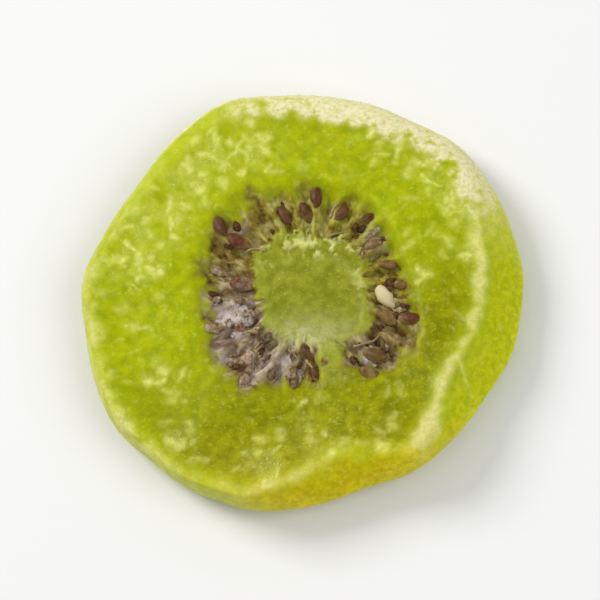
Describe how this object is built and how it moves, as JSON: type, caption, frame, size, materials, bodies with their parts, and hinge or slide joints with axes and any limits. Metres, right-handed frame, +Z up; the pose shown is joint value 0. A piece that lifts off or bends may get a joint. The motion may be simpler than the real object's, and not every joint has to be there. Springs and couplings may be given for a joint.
{
  "type": "dried kiwi slice",
  "caption": "Round slice of candied, dried kiwi fruit with a sunken pale core, a ring of dark seeds and a sloping peeled rim, lying flat.",
  "frame": {"origin": "on the surface that the slice lies on, under the middle of its outline", "axes": "+Z up out of the shown cut face, +X along the slice's widest way; the seed ring lies off the middle towards +X"},
  "size_m": [0.0444, 0.0436, 0.0061],
  "materials": {
    "kiwi_flesh": "satin",
    "kiwi_seed": "satin",
    "sugar_frost": "matte"
  },
  "bodies": {
    "root": {"kiwi_slice": "kiwi_flesh"}
  },
  "joints": []
}
